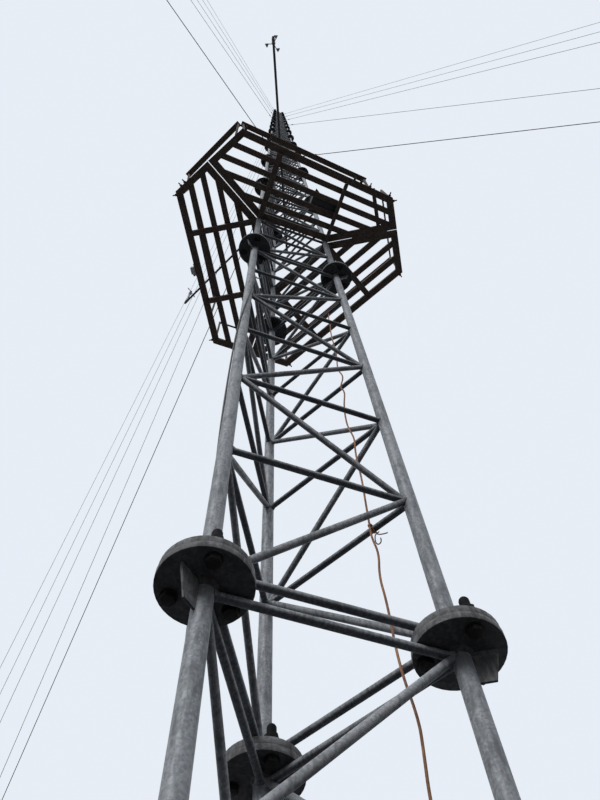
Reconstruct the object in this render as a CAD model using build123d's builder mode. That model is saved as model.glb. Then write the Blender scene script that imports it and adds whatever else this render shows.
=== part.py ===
from build123d import *
import math
import os

os.makedirs("parts", exist_ok=True)

# Guyed lattice mast for wind instruments, a 1:10 model of a mast about 101 m tall.
# Millimetres of the model. Origin at the middle of the footing's underside, Z up,
# and the mast's front side faces -Y.

# Mast: three tubes joined by flanges every section, with flat bracing between them.
leg_spacing = 100.0
leg_diameter = 7.6
base_section_height = 300.0
section_height = 600.0
section_count = 16
bays_per_section = 6
base_bay_count = 3
brace_width = 3.6
joint_to_rung = 6.0
flange_diameter = 36.4
flange_thickness = 3.6
leg_sides = 6
flange_sides = 8

# Footing under the three legs.
footing_width = 190.0
footing_height = 50.0
footing_edge = 4.0

# Guys. Each leg has two that run to a near anchor block, and three that run side by side
# to a longer block beside it. The angles are those of the blocks round the mast.
guyed_joints = {"low": [4], "middle": [9], "high": [11, 13, 15]}
guy_directions = {"left": (216.0, 218.0), "right": (332.0, 324.3), "back": (97.0, 99.9)}
fan_signs = {"left": 1, "right": -1, "back": 1}
fan_spacing = 90.0
anchor_radius = 5000.0
guy_diameter = 2.4
guy_sides = 6
lug_radius = 12.0
lug_edge = 12.0
lug_thickness = 2.4
lug_drop = 16.0
anchor_block_size = (90.0, 70.0, 30.0)
anchor_eye_height = 48.0
anchor_plate_radius = 30.0
anchor_plate_thickness = 4.0
guy_end_gap = 0.2

# Platform round the mast: one grid of bars for each side, and the rail round them. The edges
# go round the platform in order, each as its outward angle and its distance from the axis.
platform_rung = 2
platform_edges = [(210, 162.5), (-85.8, 128.5), (-30, 162.5), (30, 136.0), (90, 168.0), (150, 134.5)]
side_edges = {"front": 1, "right": 3, "left": 5}
platform_clearance = 0.6
mitre_gap = 1.5
frame_bar_width = 9.4
grid_bar_width = 7.8
grid_bar_height = 5.0
grid_bar_count = 6
corner_bar_reach = 137.0
corner_bar_width = 5.0
arm_width = 8.0
narrow_arm_width = 5.0
arm_height = 5.0
rail_height = 95.0
rail_thickness = 3.0
wide_rail_width = 8.0
thin_rail_width = 2.4
thin_rail_inset = 3.0
post_side = 3.0

# Bent wide rails, in plan: the two ends of each, and the foot and the head of its posts.
wide_rails = [
    {"ends": [(-115.0, -137.5), (88.0, -123.0)],
     "posts": [((-104.0, -129.5), (-112.0, -137.3)), ((85.0, -118.0), (85.0, -123.2))]},
    {"ends": [(-118.0, -137.3), (-169.5, -40.5)],
     "posts": [((-114.0, -118.0), (-118.9, -135.6)), ((-158.5, -41.5), (-168.1, -43.2))]},
    {"ends": [(-72.5, 132.5), (-161.9, -29.5)],
     "posts": [((-74.8, 130.4), (-73.9, 129.8)), ((-164.3, -24.6), (-160.5, -26.8))]},
]

# Wind booms, the three-cup rotor on the front one and the vane on the left one.
boom_diameter = 3.8
boom_tail = 75.0
instrument_inset = 6.0
post_height = 48.0
post_diameter = 3.0
saddle_size = (8.0, 5.0, 4.0)
sensor_diameter = 5.0
sensor_height = 12.0
pin_diameter = 1.6
pin_height = 4.0
bore_clearance = 0.1
hub_diameter = 5.0
hub_height = 7.0
hub_lift = 0.3
cup_circle_radius = 11.0
cup_radius = 3.4
cup_depth = 5.4
cup_wall = 0.6
cup_tip_share = 0.2
cup_sides = 8
cup_arm_width = 1.2
cup_phase = 38.0
vane_azimuth = 38.0
vane_bar_width = 1.2
vane_nose = 10.0
vane_weight_size = (4.0, 2.0)
vane_tail = 12.5
vane_fin_size = (6.0, 7.0)
vane_fin_thickness = 0.8
front_boom = {"rung": 4, "start": (-10.0, -28.87), "azimuth": 247.3, "reach": 259.5}
left_boom = {"rung": 5, "start": (-26.2, 12.4), "azimuth": 116.8, "reach": 225.0}

# Small fittings.
box_size = (40.0, 26.0, 30.0)
box_centre = (31.0, -75.0)
lamp_size = (18.0, 7.0, 10.0)
lamp_along = -3.0
rod_diameter = 2.0
rod_sides = 8
rod_length = 150.0
conductor_diameter = 1.2
conductor_hug = 0.5
cord_diameter = 1.8
cord_bar_number = 5
cord_inset = 23.0
cord_end_height = 100.0
cord_bend = 25.0

inradius = leg_spacing / (2 * math.sqrt(3))
circumradius = leg_spacing / math.sqrt(3)
leg_radius = leg_diameter / 2
first_joint = footing_height + base_section_height
joint_heights = [first_joint + section_height * k for k in range(section_count)]
mast_top = first_joint + section_height * section_count
leg_angles = {"left": 210, "right": 330, "back": 90}
side_turns = {"front": 0, "right": 120, "left": 240}
rung_length = leg_spacing - leg_diameter
upright = (Align.CENTER, Align.CENTER, Align.MIN)


def save(solid, name):
    """Names the piece and writes it to its own file."""
    solid.label = name
    export_step(solid, f"parts/{name}.step")


def polar(radius, angle):
    """The point at this distance from the mast's axis, in plan."""
    return radius * math.cos(math.radians(angle)), radius * math.sin(math.radians(angle))


def rung_heights(bottom, height, bays):
    """Heights of the level bars in one section, a little inside its flanges."""
    pitch = (height - 2 * joint_to_rung) / bays
    return [bottom + joint_to_rung + pitch * i for i in range(bays + 1)]


def bracing_section(heights, starts_left):
    """One side between two joints: level bars and one diagonal a bay, fused."""
    with BuildPart() as section:
        with BuildSketch(Plane.XZ):
            for height in heights:
                with Locations((0, height)):
                    Rectangle(rung_length, brace_width)
            for bay, (low, high) in enumerate(zip(heights, heights[1:])):
                lean = math.degrees(math.atan2(high - low, rung_length))
                climbs_right = (bay % 2 == 0) == starts_left
                place = Location((0, (low + high) / 2), (0, 0, lean if climbs_right else -lean))
                with Locations(place):
                    Rectangle(2 * rung_length, brace_width)
            with Locations((0, (heights[0] + heights[-1]) / 2)):
                Rectangle(rung_length, heights[-1] - heights[0] + brace_width, mode=Mode.INTERSECT)
        extrude(amount=brace_width / 2, both=True)
    return section.part.moved(Location((0, -inradius, 0)))


def bracing(stage, sections):
    """The three flat sides of one stage, each a node of its own."""
    for side, turn in side_turns.items():
        with BuildPart() as lattice:
            with Locations(Location((0, 0, 0), (0, 0, turn))):
                add(sections)
        save(lattice.part, f"bracing_{side}_{stage}")


# Bracing, in three stages up the mast.
base_rungs = rung_heights(footing_height, base_section_height, base_bay_count)
base_section = bracing_section(base_rungs, starts_left=base_bay_count % 2 == 1)
full_section = bracing_section(rung_heights(0, section_height, bays_per_section), starts_left=True)
raised = [full_section.moved(Location((0, 0, height))) for height in joint_heights]
half = section_count // 2
bracing("lower", [base_section] + raised[:1])
bracing("middle", raised[1:half])
bracing("upper", raised[half:])


class Guy:
    """One guy's line, from its lug on the leg to the eye of its anchor plate."""

    def __init__(self, leg_name, joint, anchor_angle, aside):
        x, y = polar(circumradius, leg_angles[leg_name])
        self.lug = Vector(x, y, joint_heights[joint] - lug_drop)
        along = Vector(*polar(1, anchor_angle + 90), 0)
        self.eye = Vector(*polar(anchor_radius, anchor_angle), anchor_eye_height) + along * aside
        level = Vector(self.eye.X - x, self.eye.Y - y, 0)
        self.outward = level.normalized()
        self.slope = math.atan2(self.lug.Z - self.eye.Z, level.length)


def guys_of(leg_name, level):
    """The guys of one leg at one level: one to the near block, or three side by side."""
    near, far = guy_directions[leg_name]
    joints = guyed_joints[level]
    if len(joints) == 1:
        return [Guy(leg_name, joints[0], near, 0)]
    middle = (len(joints) - 1) / 2
    sign = fan_signs[leg_name]
    return [Guy(leg_name, joint, far, sign * fan_spacing * (i - middle))
            for i, joint in enumerate(joints)]


guys = {leg_name: {level: guys_of(leg_name, level) for level in guyed_joints}
        for leg_name in leg_angles}

# Legs, each one run of tube with its flanges and the lugs for the guys.
for leg_name, angle in leg_angles.items():
    x, y = polar(circumradius, angle)
    with BuildPart() as leg:
        with BuildSketch(Plane.XY.offset(footing_height)):
            with Locations((x, y)):
                RegularPolygon(leg_radius, leg_sides, major_radius=False, rotation=30)
        extrude(amount=mast_top - footing_height)
        with BuildSketch(*[Plane.XY.offset(height - flange_thickness) for height in joint_heights]):
            with Locations((x, y)):
                RegularPolygon(flange_diameter / 2, flange_sides)
        extrude(amount=2 * flange_thickness)
        with BuildSketch(*[Plane.XY.offset(z) for z in (footing_height, mast_top - flange_thickness)]):
            with Locations((x, y)):
                RegularPolygon(flange_diameter / 2, flange_sides)
        extrude(amount=flange_thickness)
        for guy in sum(guys[leg_name].values(), []):
            across, down = math.cos(guy.slope), math.sin(guy.slope)
            half_edge = lug_edge / 2
            face = [(lug_radius * across + side * half_edge * down,
                     -lug_radius * down + side * half_edge * across) for side in (1, -1)]
            outline = [(0, half_edge), *face, (0, -lug_radius - half_edge)]
            lug_plane = Plane(origin=guy.lug, x_dir=guy.outward,
                              z_dir=guy.outward.cross(Vector(0, 0, 1)))
            with BuildSketch(lug_plane):
                Polygon(*outline, align=None)
            extrude(amount=lug_thickness / 2, both=True)
    save(leg.part, f"leg_{leg_name}")

# Footing, a plain block with broken top edges.
with BuildPart() as footing:
    Box(footing_width, footing_width, footing_height, align=upright)
    chamfer(footing.faces().sort_by(Axis.Z)[-1].edges(), length=footing_edge)
save(footing.part, "footing")

# Anchors and guys. The low and middle guys share a plate, and each high one has its own.
def anchor_plate_outline(foot, slopes):
    """A plate with one flat edge square to each guy, standing on the block at foot."""
    facing = [0.0] + slopes + [math.pi / 2]
    points = [(-anchor_plate_radius / 2, foot), (anchor_plate_radius, foot)]
    for first, second in zip(facing, facing[1:]):
        corner = anchor_plate_radius / math.cos((second - first) / 2)
        middle = (first + second) / 2
        points.append((corner * math.cos(middle), corner * math.sin(middle)))
    return points + [(-anchor_plate_radius / 2, anchor_plate_radius)]


for leg_name, levels in guys.items():
    block_length, block_width, block_height = anchor_block_size
    high_width = block_width + fan_spacing * (len(guyed_joints["high"]) - 1)
    with BuildPart() as block:
        for anchor_angle, width in zip(guy_directions[leg_name], (block_width, high_width)):
            with Locations(Location((*polar(anchor_radius, anchor_angle), 0), (0, 0, anchor_angle))):
                Box(block_length, width, block_height, align=upright)
    save(block.part, f"anchor_block_{leg_name}")
    near_guys = levels["low"] + levels["middle"]
    with BuildPart() as plate:
        for shared in [near_guys] + [[guy] for guy in levels["high"]]:
            inward = -shared[0].outward
            with BuildSketch(Plane(origin=shared[0].eye, x_dir=inward,
                                   z_dir=inward.cross(Vector(0, 0, 1)))):
                slopes = [guy.slope for guy in shared]
                Polygon(*anchor_plate_outline(block_height - anchor_eye_height, slopes), align=None)
            extrude(amount=anchor_plate_thickness / 2, both=True)
    save(plate.part, f"anchor_plate_{leg_name}")
    for level, wires in levels.items():
        with BuildPart() as stay:
            for guy in wires:
                line = guy.eye - guy.lug
                direction = line.normalized()
                first = guy.lug + direction * (lug_radius + guy_end_gap)
                with BuildSketch(Plane(origin=first, z_dir=direction)):
                    RegularPolygon(guy_diameter / 2, guy_sides)
                extrude(amount=line.length - lug_radius - anchor_plate_radius - 2 * guy_end_gap)
        save(stay.part, f"guy_{leg_name}_{level}")

# Platform grids: six bars along each side of the mast, framed along the mitres.
section_rungs = rung_heights(joint_heights[1], section_height, bays_per_section)
grid_bottom = section_rungs[platform_rung] + arm_height / 2
grid_top = grid_bottom + grid_bar_height
grid_inner = inradius + brace_width / 2 + platform_clearance


def crossing(first, second):
    """Where two lines in plan meet, each as its normal's angle and its distance from the axis."""
    (a, p), (b, q) = first, second
    turn = math.sin(math.radians(b - a))
    x = (p * math.sin(math.radians(b)) - q * math.sin(math.radians(a))) / turn
    y = (q * math.cos(math.radians(a)) - p * math.cos(math.radians(b))) / turn
    return x, y


def hexagon_corners(inset):
    """The platform's six outer corners, drawn in by a margin."""
    edges = [(angle, reach - inset) for angle, reach in platform_edges]
    return [crossing(edge, after) for edge, after in zip(edges, edges[1:] + edges[:1])]


def beside(turn, along, distance):
    """The point at this distance from the axis, and this far along the side turned this much."""
    point = Vector(along, -distance, 0).rotate(Axis.Z, turn)
    return point.X, point.Y


def outer_distance(side, along):
    """How far the platform's edge stands from the axis, this far along a side."""
    angle, reach = platform_edges[side_edges[side]]
    tilt = math.radians(angle + 90 - side_turns[side])
    return (reach - along * math.sin(tilt)) / math.cos(tilt)


def grid_outline(side):
    """Outline of one grid: from the mast's side out to the platform's edge."""
    outward = side_turns[side] - 90
    index = side_edges[side]
    inner = (outward, grid_inner)
    before, after = platform_edges[index - 1], platform_edges[(index + 1) % 6]
    left_mitre, right_mitre = (outward + 30, mitre_gap / 2), (outward - 30, mitre_gap / 2)
    corners = hexagon_corners(0)
    return [crossing(inner, right_mitre), crossing(right_mitre, after), corners[index],
            corners[index - 1], crossing(left_mitre, before), crossing(inner, left_mitre)]


def grid_bar(side, share):
    """One bar of a grid, from the innermost at share 0 to the outermost at share 1."""
    inner = grid_inner + grid_bar_width / 2
    points = []
    for hand, end in ((-1, -1), (1, -1), (1, 1), (-1, 1)):
        along = hand * 200.0
        outer = outer_distance(side, along) - grid_bar_width / 2
        distance = inner + (outer - inner) * share + end * grid_bar_width / 2
        points.append(beside(side_turns[side], along, distance))
    return points


for side, turn in side_turns.items():
    with BuildPart() as grid:
        with BuildSketch(Plane.XY.offset(grid_bottom)):
            outline = grid_outline(side)
            with BuildSketch(mode=Mode.PRIVATE) as whole:
                Polygon(*outline, align=None)
            with BuildSketch(mode=Mode.PRIVATE) as middle:
                Polygon(*outline, align=None)
                offset(amount=-frame_bar_width, kind=Kind.INTERSECTION, mode=Mode.REPLACE)
            with BuildSketch(mode=Mode.PRIVATE) as bars:
                for i in range(grid_bar_count):
                    Polygon(*grid_bar(side, i / (grid_bar_count - 1)), align=None)
                if side == "front":
                    with Locations(Location((*polar(corner_bar_reach, -30), 0), (0, 0, -30))):
                        Rectangle(corner_bar_width, 400)
                add(whole.sketch, mode=Mode.INTERSECT)
            add(whole.sketch)
            add(middle.sketch, mode=Mode.SUBTRACT)
            add(bars.sketch)
            with Locations([beside(turn, x, inradius) for x in (-leg_spacing / 2, leg_spacing / 2)]):
                RegularPolygon(leg_radius + platform_clearance, leg_sides, major_radius=False,
                               rotation=30, mode=Mode.SUBTRACT)
        extrude(amount=grid_bar_height)
    save(grid.part, f"platform_{side}")

# Arms under the platform, two to a side, each standing off one leg.
arm_start = inradius + leg_radius / math.cos(math.pi / leg_sides)
with BuildPart() as arms:
    for side, turn in side_turns.items():
        for x in (-leg_spacing / 2, leg_spacing / 2):
            arm_end = outer_distance(side, x) - frame_bar_width
            width = narrow_arm_width if side == "front" and x > 0 else arm_width
            spot = beside(turn, x, (arm_start + arm_end) / 2)
            with Locations(Location((*spot, grid_bottom - arm_height), (0, 0, turn))):
                Box(width, arm_end - arm_start, arm_height, align=upright)
save(arms.part, "platform_arms")


def rail(start, end, width):
    """A flat rail between two points in plan."""
    run = Vector(*end) - Vector(*start)
    middle = (Vector(*start) + Vector(*end)) / 2
    turn = math.degrees(math.atan2(run.Y, run.X))
    with BuildPart() as flat:
        with Locations(Location((middle.X, middle.Y, grid_top + rail_height), (0, 0, turn))):
            Box(run.length, width, rail_thickness, align=(Align.CENTER, Align.CENTER, Align.MAX))
    return flat.part


def rail_post(foot, head):
    """A square post from the grid to the rails, leaning where its head is shifted."""
    with BuildPart() as leaning:
        for height, spot in ((grid_top, foot), (grid_top + rail_height, head)):
            with BuildSketch(Plane.XY.offset(height)):
                with Locations(spot):
                    Rectangle(post_side, post_side)
        loft()
    return leaning.part


# Railing: thin rails round three sides, and the wide ones with a post near each end.
corners = hexagon_corners(thin_rail_inset)
with BuildPart() as railing:
    for first, second in zip(corners[1:4], corners[2:5]):
        add(rail(first, second, thin_rail_width))
    for corner in corners[1:5]:
        add(rail_post(corner, corner))
    for bent in wide_rails:
        add(rail(*bent["ends"], wide_rail_width))
        for foot, head in bent["posts"]:
            add(rail_post(foot, head))
save(railing.part, "railing")


def cup_cone(mouth, radius, depth):
    """A flat-sided cone that narrows away from the mouth of a cup."""
    rings = []
    for height, reach in ((0, radius), (depth, radius * cup_tip_share)):
        angles = [2 * math.pi * i / cup_sides for i in range(cup_sides)]
        ring = [(reach * math.cos(a), reach * math.sin(a), height) for a in angles]
        rings.append([mouth.from_local_coords(point) for point in ring])
    wide, narrow = rings
    faces = [Face(Wire.make_polygon(ring)) for ring in rings]
    for i in range(cup_sides):
        after = (i + 1) % cup_sides
        faces.append(Face(Wire.make_polygon([wide[i], wide[after], narrow[after], narrow[i]])))
    return Solid(Shell(faces))


def three_cups(x, y, height):
    """Three hollow cups on arms, all facing the same way round."""
    with BuildPart() as cups:
        arm_length = cup_circle_radius - cup_radius + cup_wall
        for angle in (cup_phase, cup_phase + 120, cup_phase + 240):
            frame = Location((x, y, height), (0, 0, angle))
            with Locations(frame):
                Box(arm_length, cup_arm_width, cup_arm_width,
                    align=(Align.MIN, Align.CENTER, Align.CENTER))
            mouth = Plane(frame * Location((cup_circle_radius, cup_arm_width / 2, 0), (90, 0, 0)))
            add(cup_cone(mouth, cup_radius, cup_depth))
            add(cup_cone(mouth, cup_radius - cup_wall, cup_depth - cup_wall), mode=Mode.SUBTRACT)
    return cups.part


def vane_arrow(x, y, height):
    """A level bar with a weight on its nose and an upright fin on its tail."""
    weight_length, weight_width = vane_weight_size
    fin_length, fin_height = vane_fin_size
    pieces = [
        ((vane_tail - vane_nose) / 2, vane_tail + vane_nose, vane_bar_width, vane_bar_width),
        (weight_length / 2 - vane_nose, weight_length, weight_width, weight_width),
        (vane_tail - fin_length / 2, fin_length, vane_fin_thickness, fin_height),
    ]
    with BuildPart() as arrow:
        for along, length, width, depth in pieces:
            frame = Location((x, y, height), (0, 0, vane_azimuth))
            with Locations(frame * Location((along, 0, 0))):
                Box(length, width, depth)
    return arrow.part


def on_pin(x, y, bottom, shape):
    """What turns on an instrument: a hub with a blind bore, and the shape that it carries."""
    with BuildPart() as turning:
        with BuildSketch(Plane.XY.offset(bottom)):
            with Locations((x, y)):
                RegularPolygon(hub_diameter / 2, cup_sides)
        extrude(amount=hub_height)
        add(shape(x, y, bottom + hub_height / 2 + pin_height / 2))
        with Locations((x, y, bottom)):
            Cylinder(pin_diameter / 2 + bore_clearance, pin_height + 2 * hub_lift, align=upright,
                     mode=Mode.SUBTRACT)
    return turning.part


for name, boom, post_name, turning_name, shape in (
    ("front", front_boom, "anemometer_front", "cup_rotor_front", three_cups),
    ("left", left_boom, "vane_post", "wind_vane", vane_arrow),
):
    level = section_rungs[boom["rung"]] + brace_width / 2 + boom_diameter / 2
    start = Vector(*boom["start"], level)
    out = Vector(*polar(1, boom["azimuth"]), 0)
    with BuildPart() as tube:
        with Locations(Plane(origin=start - out * boom_tail, z_dir=out).location):
            Cylinder(boom_diameter / 2, boom_tail + boom["reach"], align=upright)
    save(tube.part, f"boom_{name}")
    head = start + out * (boom["reach"] - instrument_inset)
    saddle_bottom = level + boom_diameter / 2
    post_bottom = saddle_bottom + saddle_size[2]
    post_top = post_bottom + post_height
    with BuildPart() as post:
        with Locations(Location((head.X, head.Y, saddle_bottom), (0, 0, boom["azimuth"]))):
            Box(*saddle_size, align=upright)
        for diameter, height, foot in (
            (post_diameter, post_height, post_bottom),
            (sensor_diameter, sensor_height, post_top),
        ):
            with BuildSketch(Plane.XY.offset(foot)):
                with Locations((head.X, head.Y)):
                    RegularPolygon(diameter / 2, rod_sides)
            extrude(amount=height)
        with Locations((head.X, head.Y, post_top + sensor_height)):
            Cylinder(pin_diameter / 2, pin_height, align=upright)
    save(post.part, post_name)
    save(on_pin(head.X, head.Y, post_top + sensor_height + hub_lift, shape), turning_name)

# Equipment box on the front grid, and the lamp on the left grid's outer face.
with BuildPart() as box:
    with Locations((*box_centre, grid_top)):
        Box(*box_size, align=upright)
save(box.part, "equipment_box")

with BuildPart() as lamp:
    lamp_distance = outer_distance("left", lamp_along) + lamp_size[1] / 2
    lamp_spot = beside(side_turns["left"], lamp_along, lamp_distance)
    with Locations(Location((*lamp_spot, grid_bottom), (0, 0, side_turns["left"]))):
        Box(*lamp_size, align=upright)
save(lamp.part, "edge_lamp")

# Lightning rod on the back leg.
with BuildPart() as lightning_rod:
    for diameter, height in ((3 * rod_diameter, 2 * rod_diameter), (rod_diameter, rod_length)):
        with BuildSketch(Plane.XY.offset(mast_top)):
            with Locations(polar(circumradius, leg_angles["back"])):
                RegularPolygon(diameter / 2, rod_sides)
        extrude(amount=height)
save(lightning_rod.part, "lightning_rod")

# Conductor. It runs down inside the mast past the left leg's flanges, goes half round that
# leg under the second flange, and runs down behind it to the footing.
hug = leg_radius / math.cos(math.pi / leg_sides) + conductor_diameter / 2 + conductor_hug
clear = flange_diameter / 2 + conductor_diameter / 2 + conductor_hug
inside_angle = leg_angles["left"] - 180
back_angle = 92
wound = [(350, 822.0), (305, 768.0), (260, 714.0), (215, 660.0), (170, 606.0), (160, 500.0),
         (125, 440.0)]
flange_bend, flange_pass = 35.0, 12.0
conductor_route = [
    (inside_angle, clear, mast_top),
    (inside_angle, clear, joint_heights[1] - 2 * flange_bend),
    (inside_angle, hug + leg_radius, wound[0][1] + flange_pass),
    *[(angle, hug, height) for angle, height in wound],
    (back_angle, hug, first_joint + flange_bend),
    (back_angle, clear, first_joint + flange_pass),
    (back_angle, clear, first_joint - flange_pass),
    (back_angle, hug, first_joint - flange_bend),
    (back_angle, hug, footing_height + flange_bend),
    (back_angle, clear, footing_height + flange_pass),
    (back_angle, clear, footing_height),
]
leg_x, leg_y = polar(circumradius, leg_angles["left"])
with BuildPart() as conductor:
    with BuildLine() as path:
        Polyline(*[(leg_x + polar(r, a)[0], leg_y + polar(r, a)[1], z) for a, r, z in conductor_route])
    with BuildSketch(Plane(origin=path.line @ 0, z_dir=path.line % 0)):
        RegularPolygon(conductor_diameter / 2, guy_sides)
    sweep(transition=Transition.RIGHT)
save(conductor.part, "down_conductor")

# Loose cord that hangs from a level bar of the mast's right side, just inside the mast.
cord_bar_height = rung_heights(first_joint, section_height, bays_per_section)[cord_bar_number]
cord_line = [
    (-29.5, inradius, cord_bar_height - brace_width / 2),
    (-29.5, cord_inset, 790.0),
    (-27.5, cord_inset, cord_end_height),
]
cord_route = [
    beside(side_turns["right"], along, distance) + Vector(0, 0, height)
    for along, distance, height in cord_line
]
with BuildPart() as cord:
    with BuildLine() as route:
        FilletPolyline(*cord_route, radius=cord_bend)
    with BuildSketch(Plane(origin=route.line @ 0, z_dir=route.line % 0)):
        Circle(cord_diameter / 2)
    sweep()
save(cord.part, "hanging_cord")
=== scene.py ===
import math

import bmesh
import bpy
from mathutils import Matrix, Vector


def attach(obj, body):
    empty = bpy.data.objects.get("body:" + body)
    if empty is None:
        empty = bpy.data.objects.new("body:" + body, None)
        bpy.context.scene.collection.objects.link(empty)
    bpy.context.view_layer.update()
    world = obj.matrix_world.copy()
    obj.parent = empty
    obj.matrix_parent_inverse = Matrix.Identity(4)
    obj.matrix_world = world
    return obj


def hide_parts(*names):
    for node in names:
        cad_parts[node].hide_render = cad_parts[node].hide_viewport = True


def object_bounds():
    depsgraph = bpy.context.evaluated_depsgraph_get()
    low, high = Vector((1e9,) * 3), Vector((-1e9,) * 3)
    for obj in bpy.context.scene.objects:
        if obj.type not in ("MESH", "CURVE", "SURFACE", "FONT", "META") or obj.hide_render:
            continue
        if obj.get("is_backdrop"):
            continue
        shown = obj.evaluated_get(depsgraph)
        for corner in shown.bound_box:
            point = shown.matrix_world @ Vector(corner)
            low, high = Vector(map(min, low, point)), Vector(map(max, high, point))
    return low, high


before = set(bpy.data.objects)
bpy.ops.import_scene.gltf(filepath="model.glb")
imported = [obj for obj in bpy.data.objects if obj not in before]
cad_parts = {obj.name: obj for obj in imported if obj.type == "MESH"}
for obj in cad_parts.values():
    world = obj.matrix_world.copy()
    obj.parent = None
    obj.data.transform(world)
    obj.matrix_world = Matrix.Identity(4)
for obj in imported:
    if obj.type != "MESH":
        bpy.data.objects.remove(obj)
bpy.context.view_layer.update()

# Mast legs. Each leg is a run of galvanised steel tube in 600 mm lengths, welded to round
# flanges that three large bolts hold together in pairs, with a gusset plate under each
# pair and a lug for every guy. The lowest flanges are bolted to the footing.
mm = 0.001
leg_spacing = 100 * mm
leg_radius = 3.8 * mm
inradius = leg_spacing / (2 * math.sqrt(3))
circumradius = leg_spacing / math.sqrt(3)
footing_top = 50 * mm
first_joint = 350 * mm
section_height = 600 * mm
joint_heights = [first_joint + section_height * k for k in range(16)]
mast_top = first_joint + section_height * 16
leg_angles = {"left": 210, "right": 330, "back": 90}
flange_radius = 18.2 * mm
flange_thickness = 3.6 * mm
bolt_circle = 13.2 * mm
guyed_joints = {"low": [4], "middle": [9], "high": [11, 13, 15]}
guy_directions = {"left": (216.0, 218.0), "right": (332.0, 324.3), "back": (97.0, 99.9)}
fan_signs = {"left": 1, "right": -1, "back": 1}
fan_spacing = 90 * mm
anchor_radius = 5000 * mm
eye_height = 48 * mm
lug_drop = 16 * mm
lug_radius = 12 * mm
lug_edge = 12 * mm
upright_plane = Matrix.Rotation(math.radians(90), 4, "X")


def polar(radius, angle, height=0.0):
    """The point at this distance and angle from the mast's axis."""
    turn = math.radians(angle)
    return Vector((radius * math.cos(turn), radius * math.sin(turn), height))


def rise(height):
    """A step straight up."""
    return Vector((0, 0, height))


def spun(angle):
    """A turn about the upright axis, in degrees."""
    return Matrix.Rotation(math.radians(angle), 4, "Z")


def guy_lines(name, level):
    """Where each guy of a leg at one level leaves its lug and meets its anchor."""
    near, far = guy_directions[name]
    joints = guyed_joints[level]
    azimuth = near if len(joints) == 1 else far
    lines = []
    for i, joint in enumerate(joints):
        aside = fan_signs[name] * fan_spacing * (i - (len(joints) - 1) / 2)
        lug = polar(circumradius, leg_angles[name], joint_heights[joint] - lug_drop)
        lines.append((lug, polar(anchor_radius, azimuth, eye_height) + polar(aside, azimuth + 90)))
    return lines


def in_guy_plane(origin, lug, eye):
    """An upright frame at origin whose X axis points from the lug out to the anchor."""
    run = eye - lug
    turn = Matrix.Rotation(math.atan2(run.y, run.x), 4, "Z")
    return Matrix.Translation(origin) @ turn @ upright_plane


def slope_of(lug, eye):
    """How steeply a guy comes down."""
    return math.atan2(lug.z - eye.z, math.hypot(eye.x - lug.x, eye.y - lug.y))


def towards(start, end):
    """A frame at start whose Z axis runs to end."""
    turn = (Vector(end) - Vector(start)).to_track_quat("Z", "Y")
    return Matrix.Translation(start) @ turn.to_matrix().to_4x4()


def add_rod(bm, start, end, radius, sides, end_radius=None):
    """A round bar between two points, or a taper where it ends in another radius."""
    length = (Vector(end) - Vector(start)).length
    made = bmesh.ops.create_cone(
        bm, cap_ends=True, segments=sides, radius1=radius, depth=length,
        radius2=radius if end_radius is None else end_radius,
        matrix=towards(start, end) @ Matrix.Translation((0, 0, length / 2)))
    return made["verts"]


def add_block(bm, centre, size, turn=Matrix()):
    """A box of this size, turned about its own middle."""
    place = Matrix.Translation(centre) @ turn @ Matrix.Diagonal((*size, 1))
    return bmesh.ops.create_cube(bm, size=1, matrix=place)["verts"]


def add_plate(bm, outline, thickness, place):
    """A flat plate, its outline drawn in the XY plane of a frame, its middle there too."""
    lift = rise(thickness / 2)
    face = bm.faces.new([bm.verts.new(Vector((x, y, 0)) - lift) for x, y in outline])
    raised = bmesh.ops.extrude_face_region(bm, geom=[face])["geom"]
    top = [v for v in raised if isinstance(v, bmesh.types.BMVert)]
    bmesh.ops.translate(bm, verts=top, vec=2 * lift)
    verts = list(face.verts) + top
    bmesh.ops.recalc_face_normals(bm, faces=list({f for v in verts for f in v.link_faces}))
    bmesh.ops.transform(bm, matrix=place, verts=verts)
    return verts


def soften(bm, verts, width, segments=2, sharp=40):
    """Rounds the sharp edges of the shape that these vertices make."""
    limit = math.radians(sharp)
    edges = {e for v in verts for e in v.link_edges if e.is_manifold}
    bmesh.ops.bevel(
        bm, geom=[e for e in edges if e.calc_face_angle() > limit], offset=width,
        segments=segments, profile=0.5, affect="EDGES", material=-1)


def copy_in(bm, mesh, place):
    """Adds a ready mesh to the bmesh, in its place."""
    placed = mesh.copy()
    placed.transform(place)
    bm.from_mesh(placed)
    bpy.data.meshes.remove(placed)


def ready(bm, name):
    """Turns a bmesh into a mesh, smooth but for its sharp edges."""
    for face in bm.faces:
        face.smooth = True
    for edge in bm.edges:
        edge.smooth = edge.is_manifold and edge.calc_face_angle() < math.radians(35)
    mesh = bpy.data.meshes.new(name)
    bm.to_mesh(mesh)
    bm.free()
    return mesh


def put(name, data):
    """Puts a new object into the scene, at the origin."""
    made = bpy.data.objects.new(name, data)
    bpy.context.scene.collection.objects.link(made)
    return made


def make_piece(name, bm, material, slot, *nodes, body="mast"):
    """Makes the finished object, and has it ride on its body and stand for its nodes."""
    mesh = ready(bm, name)
    mesh.materials.append(material)
    piece = put(name, mesh)
    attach(piece, body)
    if nodes:
        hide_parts(*nodes)
    return piece


def add_node(tree, kind, inputs=None, **settings):
    """A shader node with its settings, and its inputs set or linked by name."""
    made = tree.nodes.new("ShaderNode" + kind)
    for name, value in settings.items():
        setattr(made, name, value)
    for name, value in (inputs or {}).items():
        if isinstance(value, bpy.types.NodeSocket):
            tree.links.new(value, made.inputs[name])
        else:
            made.inputs[name].default_value = value
    return made


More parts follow.
